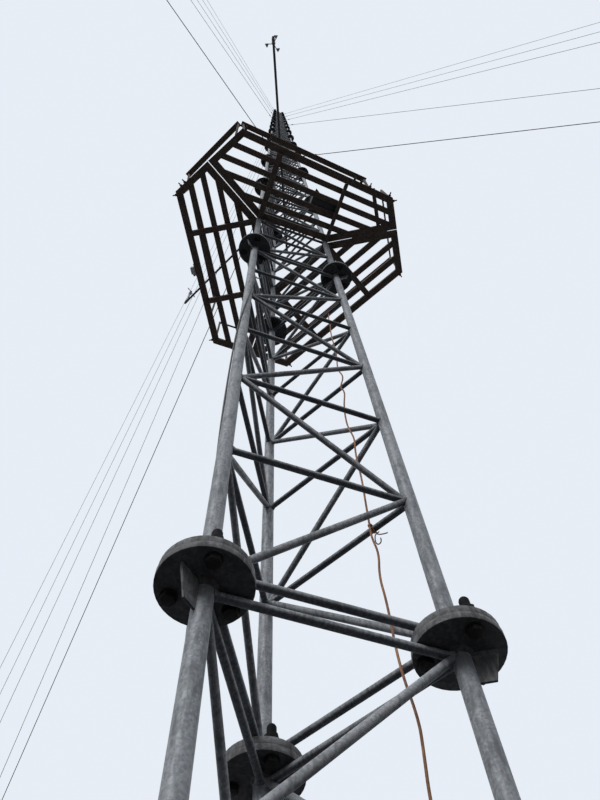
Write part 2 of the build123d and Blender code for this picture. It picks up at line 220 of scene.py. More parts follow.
def ramp(tree, factor, low, high):
    """A mask that rises from 0 to 1 as the factor goes from low to high."""
    spread = add_node(tree, "MapRange", {"Value": factor, "From Min": low, "From Max": high},
                      interpolation_type="SMOOTHSTEP")
    return spread.outputs["Result"]


def mixed(tree, factor, first, second, blend="MIX"):
    """One colour over another by a mask."""
    node = add_node(tree, "Mix", data_type="RGBA", blend_type=blend)
    for index, value in ((0, factor), (6, first), (7, second)):
        if isinstance(value, bpy.types.NodeSocket):
            tree.links.new(value, node.inputs[index])
        else:
            node.inputs[index].default_value = value
    return node.outputs[2]


def maths(tree, operation, first, second=0.5, third=0.0):
    """A Math node on values or sockets."""
    return add_node(tree, "Math", {0: first, 1: second, 2: third}, operation=operation).outputs[0]


def new_group(name, inputs, outputs):
    """An empty shader group with named inputs and outputs."""
    group = bpy.data.node_groups.new(name, "ShaderNodeTree")
    kinds = {"c": "NodeSocketColor", "f": "NodeSocketFloat", "v": "NodeSocketVector"}
    for side, sockets in (("INPUT", inputs), ("OUTPUT", outputs)):
        for socket, kind in sockets:
            group.interface.new_socket(socket, in_out=side, socket_type=kinds[kind])
    given, result = (group.nodes.new(kind) for kind in ("NodeGroupInput", "NodeGroupOutput"))
    return group, given.outputs, result.inputs


def weathering_and_shade_group():
    """Runs, blotches, rust freckles and painted shade that darkens downward faces, on steel
    outdoors.
    """
    group, given, result = new_group(
        "weathering_and_shade",
        [("Clean", "c"), ("Stain", "c"), ("Rust", "c"), ("Grain Scale", "f"),
         ("Stain Share", "f"), ("Rust Share", "f"), ("Painted Shade", "f")],
        [("Color", "c"), ("Rough", "f"), ("Height", "f")])
    where = add_node(group, "TexCoord").outputs
    place = where["Object"]
    grain = add_node(group, "TexVoronoi", {"Vector": place, "Scale": given["Grain Scale"]})
    tone = add_node(group, "SeparateColor", {"Color": grain.outputs["Color"]}).outputs[0]
    drawn = add_node(group, "Mapping", {"Vector": place, "Scale": (1.0, 1.0, 0.22)}).outputs[0]
    fine, blotch, run, freckle = (
        add_node(group, "TexNoise", {"Vector": at, "Scale": scale, "Detail": detail,
                                     "Roughness": roughness})
        for at, scale, detail, roughness in (
            (place, 900.0, 3.0, 0.5), (place, 55.0, 6.0, 0.65), (drawn, 650.0, 4.0, 0.5),
            (place, 210.0, 5.0, 0.7)))
    grained = mixed(group, 0.35, given["Clean"],
                    add_node(group, "CombineColor", {0: tone, 1: tone, 2: tone}).outputs[0],
                    "SOFT_LIGHT")
    stained = maths(group, "MULTIPLY", given["Stain Share"], ramp(
        group, maths(group, "MULTIPLY_ADD", run.outputs[0], 0.6,
                     maths(group, "MULTIPLY", blotch.outputs[0], 0.6)), 0.5, 0.76))
    floor = maths(group, "MULTIPLY_ADD", given["Rust Share"], -0.35, 0.82)
    rusty = ramp(group, maths(group, "MULTIPLY_ADD", freckle.outputs[0], 0.65,
                              maths(group, "MULTIPLY", blotch.outputs[0], 0.45)),
                 floor, maths(group, "ADD", floor, 0.09))
    colour = mixed(group, stained, grained, given["Stain"])
    colour = mixed(group, rusty, colour, given["Rust"])
    shade = mixed(group, 0.5, colour, fine.outputs["Color"], "SOFT_LIGHT")
    colour = mixed(group, 0.3, colour, shade)
    # Painted shade: by the given share, faces that point down are multiplied towards a blue-grey
    # (0.21, 0.22, 0.25), as if in shadow.
    facing = add_node(group, "SeparateXYZ", {0: where["Normal"]}).outputs["Z"]
    downward = maths(group, "MULTIPLY", facing, -1.0)
    under = maths(group, "MULTIPLY", given["Painted Shade"], ramp(
        group, maths(group, "MULTIPLY_ADD", blotch.outputs[0], 0.3, downward), 0.45, 0.95))
    painted_shade_colour = mixed(group, 1.0, colour, (0.21, 0.22, 0.25, 1), "MULTIPLY")
    group.links.new(mixed(group, under, colour, painted_shade_colour), result["Color"])
    rough = maths(group, "MULTIPLY_ADD", stained, 0.15, maths(group, "MULTIPLY", rusty, 0.4))
    group.links.new(rough, result["Rough"])
    height = maths(group, "MULTIPLY_ADD", rusty, 0.8,
                   maths(group, "MULTIPLY", fine.outputs[0], 0.5))
    group.links.new(maths(group, "MULTIPLY_ADD", tone, 0.15, height), result["Height"])
    return group


weathering_and_shade = weathering_and_shade_group()


def weathered(name, clean, stain, rust, grain=500.0, stain_share=0.6, rust_share=0.3,
              roughness=0.45, metallic=0.0, bump=0.25, depth=0.3 * mm, specular=0.5,
              painted_shade=0.0):
    """A material of weathered metal or stone, from the shared group, with painted shade on its
    downward faces by the given share.
    """
    material = bpy.data.materials.new(name)
    material.use_nodes = True
    tree = material.node_tree
    shader = tree.nodes["Principled BSDF"]
    worn = tree.nodes.new("ShaderNodeGroup")
    worn.node_tree = weathering_and_shade
    for socket, value in (("Clean", (*clean, 1)), ("Stain", (*stain, 1)), ("Rust", (*rust, 1)),
                          ("Grain Scale", grain), ("Stain Share", stain_share),
                          ("Rust Share", rust_share), ("Painted Shade", painted_shade)):
        worn.inputs[socket].default_value = value
    relief = add_node(tree, "Bump", {"Height": worn.outputs["Height"], "Strength": bump,
                                     "Distance": depth})
    tree.links.new(worn.outputs["Color"], shader.inputs["Base Color"])
    rough = maths(tree, "ADD", worn.outputs["Rough"], roughness)
    tree.links.new(rough, shader.inputs["Roughness"])
    tree.links.new(relief.outputs[0], shader.inputs["Normal"])
    shader.inputs["Metallic"].default_value = metallic
    shader.inputs["Specular IOR Level"].default_value = specular
    return material


galvanised = weathered("galvanised tube", (0.285, 0.30, 0.32), (0.13, 0.14, 0.15),
                       (0.16, 0.09, 0.055), grain=1100.0, stain_share=0.85, rust_share=0.12,
                       roughness=0.5, metallic=0.1, specular=0.3)
# The flanges get painted shade: their downward faces are darkened as if in shadow.
flange_steel = weathered("galvanised flange", (0.19, 0.195, 0.20), (0.075, 0.072, 0.07),
                         (0.12, 0.06, 0.04), grain=420.0, stain_share=0.8, rust_share=0.3,
                         roughness=0.6, specular=0.08, painted_shade=0.9)


flange_weld, weld_height = 1.4 * mm, 2 * mm
flange_gap, upper_flange_step = 0.15 * mm, 0.4 * mm


def flange_mesh(paired):
    """A pair of flange plates, or the single one on the footing, with the weld at the tube."""
    bm = bmesh.new()
    plates = [(0.0, flange_thickness, flange_radius - upper_flange_step)]
    if paired:
        plates.append((-flange_thickness, -flange_gap, flange_radius))
    for low, high, radius in plates:
        soften(bm, add_rod(bm, (0, 0, low), (0, 0, high), radius, 40), 0.4 * mm)
    for way in (1, -1) if paired else (1,):
        root = rise(way * flange_thickness)
        add_rod(bm, root, root + rise(way * weld_height), leg_radius + flange_weld, 24, leg_radius)
    return ready(bm, "flange")


bolt_turns = (-62, 58, 178)
nut_radius, nut_height = 3.4 * mm, 3.8 * mm
cap_radius, cap_height = 2.2 * mm, 4.4 * mm
head_radius, head_height = 3.1 * mm, 2.4 * mm
washer_height = 0.5 * mm


def nut_mesh(paired):
    """The three bolts of a flange pair: a cap nut above, a hexagon head and a washer below."""
    bm = bmesh.new()
    for turn in bolt_turns:
        spot = polar(bolt_circle, turn)
        top = spot + rise(flange_thickness)
        soften(bm, add_rod(bm, top, top + rise(nut_height), nut_radius, 6), 0.3 * mm)
        cap = top + rise(nut_height - 0.5 * mm)
        add_rod(bm, cap, cap + rise(cap_height), cap_radius, 12)
        bmesh.ops.create_uvsphere(bm, u_segments=12, v_segments=8, radius=cap_radius,
                                  matrix=Matrix.Translation(cap + rise(cap_height)))
        if paired:
            under = spot - rise(flange_thickness)
            add_rod(bm, under, under - rise(washer_height), nut_radius, 18)
            head = under - rise(washer_height - 0.1 * mm)
            soften(bm, add_rod(bm, head, head - rise(head_height), head_radius, 6), 0.25 * mm)
    return ready(bm, "nuts")


nut_steel = weathered("bolt steel", (0.013, 0.013, 0.014), (0.009, 0.009, 0.009),
                      (0.04, 0.022, 0.016), grain=700.0, stain_share=0.5, rust_share=0.25,
                      roughness=0.6, specular=0.05)
gusset_outline = [(3.4 * mm, 0), (14 * mm, 0), (14 * mm, -1.5 * mm), (10 * mm, -15 * mm),
                  (3.4 * mm, -15 * mm)]
gusset_thickness = 1.1 * mm
gusset_turns = {"left": 9, "right": 0, "back": 0}
lug_thickness = 2.4 * mm
flange_pair, flange_foot = flange_mesh(True), flange_mesh(False)
nut_pairs, nut_foot = nut_mesh(True), nut_mesh(False)
for name, angle in leg_angles.items():
    centre = polar(circumradius, angle)
    outward = spun(angle)
    tube = bmesh.new()
    add_rod(tube, centre + rise(footing_top), centre + rise(mast_top), leg_radius, 28)
    plates, nuts = bmesh.new(), bmesh.new()
    foot = Matrix.Translation(centre + rise(footing_top)) @ outward
    copy_in(plates, flange_foot, foot)
    copy_in(nuts, nut_foot, foot)
    for height in joint_heights:
        place = Matrix.Translation(centre + rise(height)) @ outward
        copy_in(plates, flange_pair, place)
        copy_in(nuts, nut_pairs, place)
        under = Matrix.Translation((0, 0, -flange_thickness))
        aside = spun(gusset_turns[name])
        gusset = add_plate(plates, gusset_outline, gusset_thickness,
                           place @ under @ aside @ upright_plane)
        soften(plates, gusset, 0.2 * mm, segments=1)
    cap = add_rod(plates, centre + rise(mast_top - flange_thickness),
                  centre + rise(mast_top), flange_radius, 40)
    soften(plates, cap, 0.35 * mm)
    for level in guyed_joints:
        for lug, eye in guy_lines(name, level):
            slope = slope_of(lug, eye)
            face = lug_radius * Vector((math.cos(slope), -math.sin(slope)))
            edge = lug_edge / 2 * Vector((math.sin(slope), math.cos(slope)))
            outline = [Vector((0, lug_edge / 2)), face + edge, face - edge,
                       Vector((0, -lug_radius - lug_edge / 2))]
            plate = add_plate(plates, outline, lug_thickness, in_guy_plane(lug, lug, eye))
            soften(plates, plate, 0.4 * mm)
    make_piece(f"leg_tube_{name}", tube, galvanised, "galvanised_steel", f"leg_{name}")
    make_piece(f"flanges_{name}", plates, flange_steel, "galvanised_steel", f"leg_{name}")
    make_piece(f"flange_bolts_{name}", nuts, nut_steel, "galvanised_steel", f"leg_{name}")

# Bracing. Level and slanting round tubes on the mast's three sides, six bays to a section,
# galvanised like the legs, with their ends cut to the legs and welded all round.
brace_radius = 1.8 * mm
brace_reach = (leg_spacing - 2 * leg_radius) / 2 + 0.7 * mm
joint_to_rung = 6 * mm
section_bays = 6
base_bays = 3
brace_weld = 0.75 * mm
brace_weld_run = (0.4 * mm, 1.9 * mm)
side_turns = {"front": 0, "right": 120, "left": 240}
# The brace tubes get painted shade: their downward faces are darkened as if in shadow.
brace_steel = weathered("galvanised brace", (0.33, 0.345, 0.365), (0.14, 0.145, 0.15),
                        (0.11, 0.06, 0.04), grain=1100.0, stain_share=0.85, rust_share=0.3,
                        roughness=0.55, specular=0.12, painted_shade=0.95)


def rung_heights(bottom, height, bays):
    """Heights of the level tubes in one section, a little inside its flanges."""
    pitch = (height - 2 * joint_to_rung) / bays
    return [bottom + joint_to_rung + pitch * i for i in range(bays + 1)]


def bracing_section(heights):
    """One side of one section: level tubes, one slanting tube a bay, and their welds."""
    bm = bmesh.new()
    ends = [((-brace_reach, z), (brace_reach, z)) for z in heights]
    for bay, (low, high) in enumerate(zip(heights, heights[1:])):
        left_foot = bay % 2 == 0
        ends.append(((-brace_reach, low if left_foot else high),
                     (brace_reach, high if left_foot else low)))
    for (x1, z1), (x2, z2) in ends:
        start, end = Vector((x1, -inradius, z1)), Vector((x2, -inradius, z2))
        add_rod(bm, start, end, brace_radius, 12)
        step = (end - start).normalized()
        for foot, inward in ((start, step), (end, -step)):
            near, far = (foot + inward * along for along in brace_weld_run)
            add_rod(bm, near, far, brace_radius + brace_weld, 12, brace_radius)
    return ready(bm, "bracing section")


full_section = bracing_section(rung_heights(0, section_height, section_bays))
base_section = bracing_section(rung_heights(footing_top, first_joint - footing_top, base_bays))
stages = {"lower": joint_heights[:1], "middle": joint_heights[1:8], "upper": joint_heights[8:]}
for side, turn in side_turns.items():
    spin = spun(turn)
    for stage, heights in stages.items():
        lattice = bmesh.new()
        if stage == "lower":
            copy_in(lattice, base_section, spin)
        for height in heights:
            copy_in(lattice, full_section, spin @ Matrix.Translation((0, 0, height)))
        make_piece(f"brace_tubes_{side}_{stage}", lattice, brace_steel, "galvanised_steel",
                   f"bracing_{side}_{stage}")

# Footing. A cast concrete block with broken edges, which the three lowest flanges are
# bolted down on.
footing_width = 190 * mm
concrete = weathered("cast concrete", (0.46, 0.45, 0.42), (0.27, 0.26, 0.23),
                     (0.20, 0.17, 0.13), grain=260.0, stain_share=0.7, rust_share=0.1,
                     roughness=0.85, bump=0.5, depth=1.0 * mm)
block = bmesh.new()
cast = add_block(block, rise(footing_top / 2), (footing_width, footing_width, footing_top))
soften(block, cast, 4 * mm)
make_piece("footing_block", block, concrete, "concrete", "footing")

# Anchors. Two concrete blocks for each leg, five metres out on the ground: a near one whose
# steel plate takes the low and the middle guy, and a long one beside it with a plate for
# each of the three high guys.
anchor_length, anchor_width, anchor_height = 90 * mm, 70 * mm, 30 * mm
plate_radius = 30 * mm
eye_thickness = 4 * mm


def anchor_outline(slopes):
    """An eye plate's outline, with one flat edge square to each of its guys."""
    foot = anchor_height - eye_height
    facings = [0.0, *slopes, math.pi / 2]
    outline = [(-plate_radius / 2, foot), (plate_radius, foot)]
    for first, second in zip(facings, facings[1:]):
        corner = polar(plate_radius / math.cos((second - first) / 2),
                       math.degrees(first + second) / 2)
        outline.append((corner.x, corner.y))
    return outline + [(-plate_radius / 2, plate_radius)]


for name in leg_angles:
    long_width = anchor_width + 2 * fan_spacing
    blocks = bmesh.new()
    for azimuth, width in zip(guy_directions[name], (anchor_width, long_width)):
        turn = spun(azimuth)
        block = add_block(blocks, polar(anchor_radius, azimuth, anchor_height / 2),
                          (anchor_length, width, anchor_height), turn)
        soften(blocks, block, 2 * mm)
    make_piece(f"anchor_base_{name}", blocks, concrete, "concrete", f"anchor_block_{name}")
    eyes = bmesh.new()
    near_guys = guy_lines(name, "low") + guy_lines(name, "middle")
    for shared in [near_guys] + [[line] for line in guy_lines(name, "high")]:
        lug, eye = shared[0]
        slopes = [slope_of(*line) for line in shared]
        outline = anchor_outline(slopes)
        plate = add_plate(eyes, outline, eye_thickness, in_guy_plane(eye, eye, lug))
        soften(eyes, plate, 0.4 * mm)
    make_piece(f"anchor_eyes_{name}", eyes, flange_steel, "galvanised_steel",
               f"anchor_plate_{name}")

# Guys. Fifteen taut steel wires, five to a leg, each from its lug under a flange down to the
# anchor: a fork at either end, a dark insulator near the mast, and a turnbuckle with its
# two rods by the anchor.
guy_radius = 1.2 * mm
wire_ends = (12.2 * mm, 30.2 * mm)
fork_reaches = (10 * mm, 26 * mm)
jaw_radius = 1.2 * mm
jaw_run, jaw_spread = (-3 * mm, 7 * mm), (2.6 * mm, 2.0 * mm)
pin_radius, pin_half, pin_step = 1.0 * mm, 3.6 * mm, -1 * mm
mast_ferrule = [(14, 2.6), (20, 2.6), (34, 1.3)]
insulator = [(60, 1.3), (61, 3.0), (65, 3.4), (69, 2.4), (73, 3.4), (77, 3.0), (78, 1.3)]
turnbuckle_rods = [(32, 2.6), (36, 2.6), (40, 1.5), (96, 1.5), (100, 2.4), (112, 2.4), (126, 1.2)]
turnbuckle_body = [(46, 2.4), (50, 3.0), (82, 3.0), (86, 2.4)]
wire_steel = weathered("guy wire", (0.10, 0.105, 0.11), (0.05, 0.05, 0.05), (0.12, 0.07, 0.04),
                       grain=900.0, stain_share=0.6, rust_share=0.2, roughness=0.5,
                       metallic=0.2)


def add_fitting(bm, line, stations, sides=12):
    """A turned fitting on the guy: distances along its line and the radii there, in mm."""
    for (near, first), (far, second) in zip(stations, stations[1:]):
        start = line @ rise(near * mm)
        add_rod(bm, start, line @ rise(far * mm), first * mm, sides, second * mm)


for name in leg_angles:
    for level in guyed_joints:
        wires = bmesh.new()
        for lug, eye in guy_lines(name, level):
            from_mast, from_anchor = towards(lug, eye), towards(eye, lug)
            start, end = from_mast @ rise(wire_ends[0]), from_anchor @ rise(wire_ends[1])
            add_rod(wires, start, end, guy_radius, 8)
            across = (eye - lug).cross(rise(1)).normalized()
            for line, reach in zip((from_mast, from_anchor), fork_reaches):
                for jaw in (-across, across):
                    near, far = (line @ rise(reach + along) + jaw * aside
                                 for along, aside in zip(jaw_run, jaw_spread))
                    add_rod(wires, near, far, jaw_radius, 8, 0.75 * jaw_radius)
                pin = line @ rise(reach + pin_step)
                add_rod(wires, pin - across * pin_half, pin + across * pin_half, pin_radius, 8)
            for line, stations in ((from_mast, mast_ferrule), (from_mast, insulator),
                                   (from_anchor, turnbuckle_rods), (from_anchor, turnbuckle_body)):
                add_fitting(wires, line, stations)
        make_piece(f"guy_wire_{name}_{level}", wires, wire_steel, "guy_wire",
                   f"guy_{name}_{level}")

# Platform. Three grids of rusty flat bar round the mast above the second flanges, six bars
# and a mitred frame each, with bolt ends at the corners, on arms that stand off the legs. The
# front grid has one more short bar, and a batten under the mitre on its right.
section_rungs = rung_heights(joint_heights[1], section_height, 6)
grid_bottom = section_rungs[2] + 2.5 * mm
grid_height = 5 * mm
grid_top = grid_bottom + grid_height
platform_edges = [(210, 162.5 * mm), (-85.8, 128.5 * mm), (-30, 162.5 * mm), (30, 136 * mm),
                  (90, 168 * mm), (150, 134.5 * mm)]
side_edges = {"front": 1, "right": 3, "left": 5}
grid_inner = inradius + brace_radius + 0.6 * mm
grid_bars = 6
bar_width = 7.8 * mm
short_bar_width = 5 * mm
short_bar_line = (-30, 137 * mm)
frame_width = 9.4 * mm
frame_proud = 0.3 * mm
mitre_gap = 1.5 * mm
bolt_inset = 5 * mm
edge_bolt_reach, edge_bolt_radius = 5.5, 0.9 * mm
edge_nut_height, edge_nut_radius = 2, 2 * mm
short_edge_bolts = {"front": (5,), "left": (11, 18), "right": ()}
front_edge_bolts = (40, 168, 178, 192)
batten_ends = (97 * mm, 147 * mm)
batten_width = 5.2 * mm
batten_levels = (-1.3 * mm, 0.5 * mm)
rusty = weathered("rusty bar", (0.125, 0.101, 0.088), (0.072, 0.056, 0.048), (0.15, 0.075, 0.045),
                  grain=380.0, stain_share=0.6, rust_share=0.5, roughness=0.7,
                  bump=0.5, specular=0.1)


def crossing(first, second):
    """Where two lines in plan meet, each as its normal's angle and its distance from the axis."""
    (a, p), (b, q) = first, second
    turn = math.sin(math.radians(b - a))
    return Vector((p * math.sin(math.radians(b)) - q * math.sin(math.radians(a)),
                   q * math.cos(math.radians(a)) - p * math.cos(math.radians(b)), 0)) / turn


def hexagon(inset):
    """The platform's six outer corners, drawn in by a margin."""
    edges = [(angle, reach - inset) for angle, reach in platform_edges]
    return [crossing(edge, after) for edge, after in zip(edges, edges[1:] + edges[:1])]


def outer_line(side):
    """The edge line of a side, as its angle and its distance from the axis."""
    return platform_edges[side_edges[side]]


def outer_distance(side, along):
    """How far the platform's edge stands from the axis, this far along a side."""
    angle, reach = outer_line(side)
    tilt = math.radians(angle + 90 - side_turns[side])
    return (reach - along * math.sin(tilt)) / math.cos(tilt)


def add_slab(bm, outline, low, high):
    """A flat bar of the platform with this outline in plan, its edges a little rounded."""
    place = Matrix.Translation((0, 0, (low + high) / 2))
    soften(bm, add_plate(bm, [(p.x, p.y) for p in outline], high - low, place), 0.35 * mm)


def add_frame(bm, outline):
    """The mitred frame of a grid, which the grid's own bars are let into."""
    middle = sum(outline, Vector()) / len(outline)
    lines = []
    for start, end in zip(outline, outline[1:] + outline[:1]):
        run = (end - start).normalized()
        out = Vector((run.y, -run.x, 0))
        out = out if out.dot(start - middle) > 0 else -out
        lines.append((math.degrees(math.atan2(out.y, out.x)), start.dot(out) - frame_width))
    inside = [crossing(lines[i - 1], lines[i]) for i in range(len(lines))]
    for i in range(len(outline)):
        add_slab(bm, (outline[i - 1], outline[i], inside[i], inside[i - 1]),
                 grid_bottom - frame_proud, grid_top + frame_proud)


def add_bolt(bm, spot, azimuth):
    """A small bolt end and nut that stick out sideways."""
    out = polar(1, azimuth)
    centre = spot + rise(grid_bottom + grid_height / 2)
    add_rod(bm, centre - out * mm, centre + out * edge_bolt_reach * mm, edge_bolt_radius, 8)
    nut = add_rod(bm, centre, centre + out * edge_nut_height * mm, edge_nut_radius, 6)
    soften(bm, nut, 0.2 * mm)


def grid_bar(side, share, left_ends, right_ends):
    """One bar's outline, cut at each end by the mitre or by the short edge past its corner."""
    turn = spun(side_turns[side])
    across = turn @ Vector((1, 0, 0))
    inner = grid_inner + bar_width / 2
    lines = []
    for step in (-1, 1):
        ends = []
        for along in (-200 * mm, 200 * mm):
            outer = outer_distance(side, along) - bar_width / 2
            distance = inner + (outer - inner) * share + step * bar_width / 2
            ends.append(turn @ Vector((along, -distance, 0)))
        run = ends[1] - ends[0]
        angle = math.degrees(math.atan2(run.y, run.x)) - 90
        lines.append((angle, ends[0].dot(polar(1, angle))))
    outline = []
    for line in lines:
        left = max((crossing(line, end) for end in left_ends), key=lambda p: p.dot(across))
        right = min((crossing(line, end) for end in right_ends), key=lambda p: p.dot(across))
        outline.append((left, right))
    return [outline[0][0], outline[0][1], outline[1][1], outline[1][0]]


for side, turn in side_turns.items():
    grid = bmesh.new()
    outward, index = turn - 90, side_edges[side]
    before, after = platform_edges[index - 1], platform_edges[(index + 1) % 6]
    left_mitre, right_mitre = (outward + 30, mitre_gap / 2), (outward - 30, mitre_gap / 2)
    inner = (outward, grid_inner)
    left_corner, right_corner = hexagon(0)[index - 1], hexagon(0)[index]
    left_tip, right_tip = crossing(left_mitre, before), crossing(right_mitre, after)
    for i in range(grid_bars):
        bar = grid_bar(side, i / (grid_bars - 1), (left_mitre, before), (right_mitre, after))
        add_slab(grid, bar, grid_bottom, grid_top)
    add_frame(grid, [crossing(inner, right_mitre), right_tip, right_corner, left_corner, left_tip,
                     crossing(inner, left_mitre)])
    edge_run = (right_corner - left_corner).normalized()
    add_bolt(grid, left_corner + edge_run * bolt_inset, outward)
    add_bolt(grid, right_corner - edge_run * bolt_inset, outward)
    short_run = (right_tip - right_corner).normalized()
    for distance in short_edge_bolts[side]:
        add_bolt(grid, right_corner + short_run * distance * mm, after[0])
    if side == "front":
        ends = [crossing(short_bar_line, line) for line in (right_mitre, outer_line(side))]
        half_bar = polar(short_bar_width / 2, -30)
        add_slab(grid, (ends[0] + half_bar, ends[1] + half_bar, ends[1] - half_bar,
                        ends[0] - half_bar), grid_bottom + frame_proud, grid_top - frame_proud)
        for distance in front_edge_bolts:
            add_bolt(grid, left_corner + edge_run * distance * mm, outward)
        near, far = (polar(distance, -30) for distance in batten_ends)
        aside = polar(batten_width / 2, 60)
        add_slab(grid, (near - aside, far - aside, far + aside, near + aside),
                 *(grid_bottom + level for level in batten_levels))
    make_piece(f"platform_grid_{side}", grid, rusty, "rusted_steel", f"platform_{side}")

arm_width = 8 * mm
narrow_arm_width = 5 * mm
arm_height = 5 * mm
arms = bmesh.new()
for side, turn in side_turns.items():
    spin = spun(turn)
    for x in (-leg_spacing / 2, leg_spacing / 2):
        start, end = inradius + leg_radius, outer_distance(side, x) - frame_width
        width = narrow_arm_width if side == "front" and x > 0 else arm_width
        centre = spin @ Vector((x, -(start + end) / 2, grid_bottom - arm_height / 2))
        soften(arms, add_block(arms, centre, (width, end - start, arm_height), spin), 0.3 * mm)
make_piece("platform_arm_bars", arms, rusty, "rusted_steel", "platform_arms")

# Railing. Flat bars on square posts: thin ones round three sides, and wide ones, bent out of
# line, on the front side, the left side and the short side between them.
rail_height = 95 * mm
rail_thickness = 3 * mm
wide_rail = 8 * mm
thin_rail = 2.4 * mm
post_side = 3 * mm
rail_inset = 3 * mm
wide_rails = [
    {"ends": [(-115, -137.5), (88, -123)],
     "posts": [((-104, -129.5), (-112, -137.3)), ((85, -118), (85, -123.2))]},
    {"ends": [(-118, -137.3), (-169.5, -40.5)],
     "posts": [((-114, -118), (-118.9, -135.6)), ((-158.5, -41.5), (-168.1, -43.2))]},
    {"ends": [(-72.5, 132.5), (-161.9, -29.5)],
     "posts": [((-74.8, 130.4), (-73.9, 129.8)), ((-164.3, -24.6), (-160.5, -26.8))]},
]


def add_rail(bm, start, end, width):
    """A flat bar between two points in plan, at the top of the posts."""
    run = end - start
    spin = Matrix.Rotation(math.atan2(run.y, run.x), 4, "Z")
    middle = (start + end) / 2 + rise(grid_top + rail_height - rail_thickness / 2)
    soften(bm, add_block(bm, middle, (run.length, width, rail_thickness), spin), 0.4 * mm)


def add_post(bm, foot, head):
    """A square bar from the grid up to the rail, leaning where the rail is bent out."""
    lean = (head - foot) / rail_height
    shear = Matrix(((1, 0, lean.x, 0), (0, 1, lean.y, 0), (0, 0, 1, 0), (0, 0, 0, 1)))
    place = Matrix.Translation(foot + rise(grid_top)) @ shear
    post = add_block(bm, (0, 0, rail_height / 2), (post_side, post_side, rail_height))
    bmesh.ops.transform(bm, matrix=place, verts=post)
    soften(bm, post, 0.3 * mm)


railing = bmesh.new()
corners = hexagon(rail_inset)
for start, end in zip(corners[1:4], corners[2:5]):
    add_rail(railing, start, end, thin_rail)
for corner in corners[1:5]:
    add_post(railing, corner, corner)
for bent in wide_rails:
    start, end = (Vector((x, y, 0)) * mm for x, y in bent["ends"])
    add_rail(railing, start, end, wide_rail)
    for foot, head in bent["posts"]:
        add_post(railing, Vector((*foot, 0)) * mm, Vector((*head, 0)) * mm)
make_piece("railing_bars", railing, rusty, "rusted_steel", "railing")

# Wind booms. Two long tubes clamped to the mast above the platform. A saddle near each tip
# holds the upright post of an instrument, a cup anemometer in front and a wind vane on the
# left. Cups, vane and hubs are dark moulded plastic.
up = rise(mm)
boom_radius = 1.9 * mm
boom_tail = 75 * mm
saddle_inset = 6 * mm
saddle_size = (8 * mm, 5 * mm, 4 * mm)
strap_steps, strap_half, strap_thickness = (-2.6, 2.6), 0.8, 0.5 * mm
post_height = 48
post_radius = 1.5 * mm
sensor_profile = ((0, 2.0), (3, 3.2), (6, 3.2), (11, 2.4), (12, 1.4))
shaft_levels, shaft_radius = (12, 16), 0.8 * mm
hub_lift = 12.3
booms = {
    "front": {"rung": 4, "start": (-10 * mm, -28.87 * mm), "azimuth": 247.3, "reach": 259.5 * mm},
    "left": {"rung": 5, "start": (-26.2 * mm, 12.4 * mm), "azimuth": 116.8, "reach": 225 * mm},
}
boom_paint = weathered("boom tube", (0.045, 0.046, 0.05), (0.025, 0.025, 0.025),
                       (0.10, 0.06, 0.035), grain=600.0, stain_share=0.5, rust_share=0.2,
                       roughness=0.5, specular=0.15)
sensor_metal = weathered("sensor housing", (0.07, 0.07, 0.075), (0.045, 0.045, 0.045),
                         (0.1, 0.07, 0.05), grain=700.0, stain_share=0.4, rust_share=0.05,
                         roughness=0.4, metallic=0.1)
cup_plastic = weathered("cup plastic", (0.03, 0.03, 0.032), (0.05, 0.05, 0.05),
                        (0.08, 0.075, 0.07), grain=900.0, stain_share=0.4, rust_share=0.05,
                        roughness=0.45, bump=0.1)
hubs = {}
for name, boom in booms.items():
    level = section_rungs[boom["rung"]] + brace_radius + boom_radius
    start = Vector((*boom["start"], level))
    out = polar(1, boom["azimuth"])
    tail, tip = start - out * boom_tail, start + out * boom["reach"]
    tube = bmesh.new()
    soften(tube, add_rod(tube, tail, tip, boom_radius, 20), 0.3 * mm)
    make_piece(f"boom_tube_{name}", tube, boom_paint, "boom_tube", f"boom_{name}")
    clamped = tip - out * saddle_inset
    saddle = clamped + rise(boom_radius)
    turn = spun(boom["azimuth"])
    post = bmesh.new()
    block = add_block(post, saddle + rise(saddle_size[2] / 2), saddle_size, turn)
    soften(post, block, 0.6 * mm)
    for step in strap_steps:
        strap, half = clamped + out * step * mm, out * strap_half * mm
        band = add_rod(post, strap - half, strap + half, boom_radius + strap_thickness, 16)
        soften(post, band, 0.2 * mm)
    foot = saddle + rise(saddle_size[2])
    body = foot + up * post_height
    add_rod(post, foot, body, post_radius, 16)
    for (low, wide), (high, narrow) in zip(sensor_profile, sensor_profile[1:]):
        add_rod(post, body + up * low, body + up * high, wide * mm, 18, narrow * mm)
    low, high = (body + up * level for level in shaft_levels)
    add_rod(post, low, high, shaft_radius, 12)
    node = {"front": "anemometer_front", "left": "vane_post"}[name]
    make_piece(f"sensor_post_{name}", post, sensor_metal, "sensor_metal", node)
    hubs[name] = body + up * hub_lift

